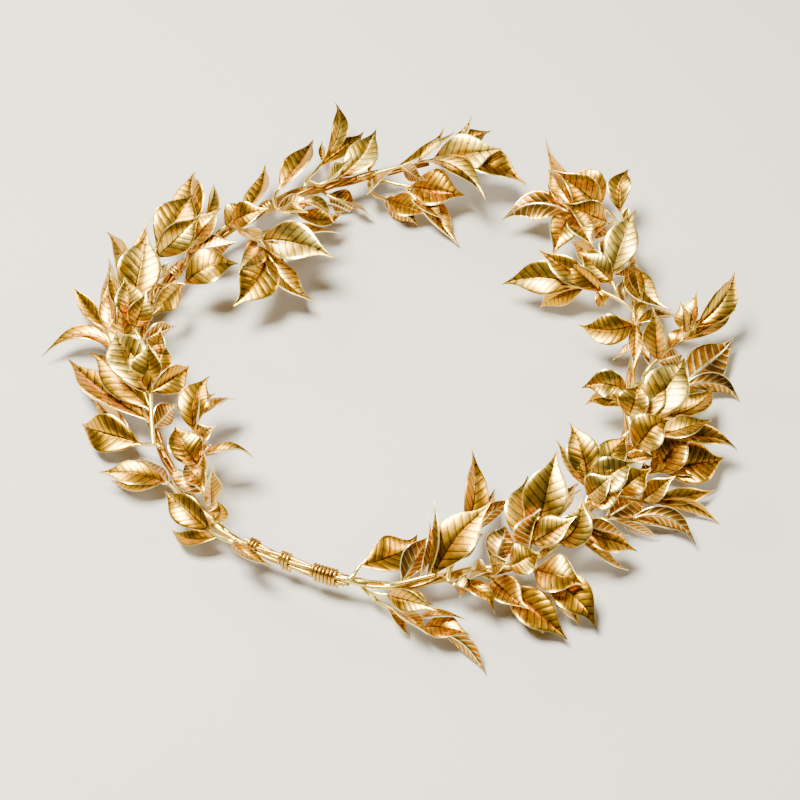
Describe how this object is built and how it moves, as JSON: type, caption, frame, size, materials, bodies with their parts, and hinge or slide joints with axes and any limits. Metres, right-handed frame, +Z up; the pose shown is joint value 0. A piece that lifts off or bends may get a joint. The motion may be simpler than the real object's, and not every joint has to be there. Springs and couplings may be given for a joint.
{
  "type": "leaf headband",
  "caption": "Open laurel-leaf headband: two leafy garlands of thin gilded metal on bent wire stems, bound with fine wire at the back and open at the front.",
  "frame": {"origin": "centre of the head opening on the plane that the lowest leaf tips rest on", "axes": "+Z up through the head opening, -Y towards the open front, +Y towards the wire-bound joint at the back"},
  "size_m": [0.2584, 0.2368, 0.0355],
  "materials": {
    "stem_gold": "gilded, brushed",
    "leaf_gold": "gilded, satin"
  },
  "bodies": {
    "root": {"stem_left": "stem_gold", "stem_right": "stem_gold", "joint_wrap_left": "stem_gold", "joint_wrap_middle": "stem_gold", "joint_wrap_right": "stem_gold", "collar_left_lower": "stem_gold", "collar_left_upper": "stem_gold", "collar_right": "stem_gold", "leaf_sprig_left_1": "leaf_gold", "leaf_sprig_left_2": "leaf_gold", "leaf_sprig_left_3": "leaf_gold", "leaf_sprig_left_4": "leaf_gold", "leaf_sprig_left_5": "leaf_gold", "leaf_sprig_left_6": "leaf_gold", "leaf_sprig_left_7": "leaf_gold", "leaf_sprig_left_8": "leaf_gold", "leaf_sprig_left_9": "leaf_gold", "leaf_sprig_left_10": "leaf_gold", "leaf_sprig_left_11": "leaf_gold", "leaf_sprig_left_12": "leaf_gold", "leaf_sprig_left_13": "leaf_gold", "leaf_sprig_left_14": "leaf_gold", "leaf_sprig_left_15": "leaf_gold", "leaf_sprig_right_1": "leaf_gold", "leaf_sprig_right_2": "leaf_gold", "leaf_sprig_right_3": "leaf_gold", "leaf_sprig_right_4": "leaf_gold", "leaf_sprig_right_5": "leaf_gold", "leaf_sprig_right_6": "leaf_gold", "leaf_sprig_right_7": "leaf_gold", "leaf_sprig_right_8": "leaf_gold", "leaf_sprig_right_9": "leaf_gold", "leaf_sprig_right_10": "leaf_gold", "leaf_sprig_right_11": "leaf_gold", "leaf_sprig_right_12": "leaf_gold", "leaf_sprig_right_13": "leaf_gold", "leaf_sprig_right_14": "leaf_gold", "leaf_sprig_right_15": "leaf_gold", "leaf_sprig_right_16": "leaf_gold", "leaf_sprig_right_17": "leaf_gold"}
  },
  "joints": []
}
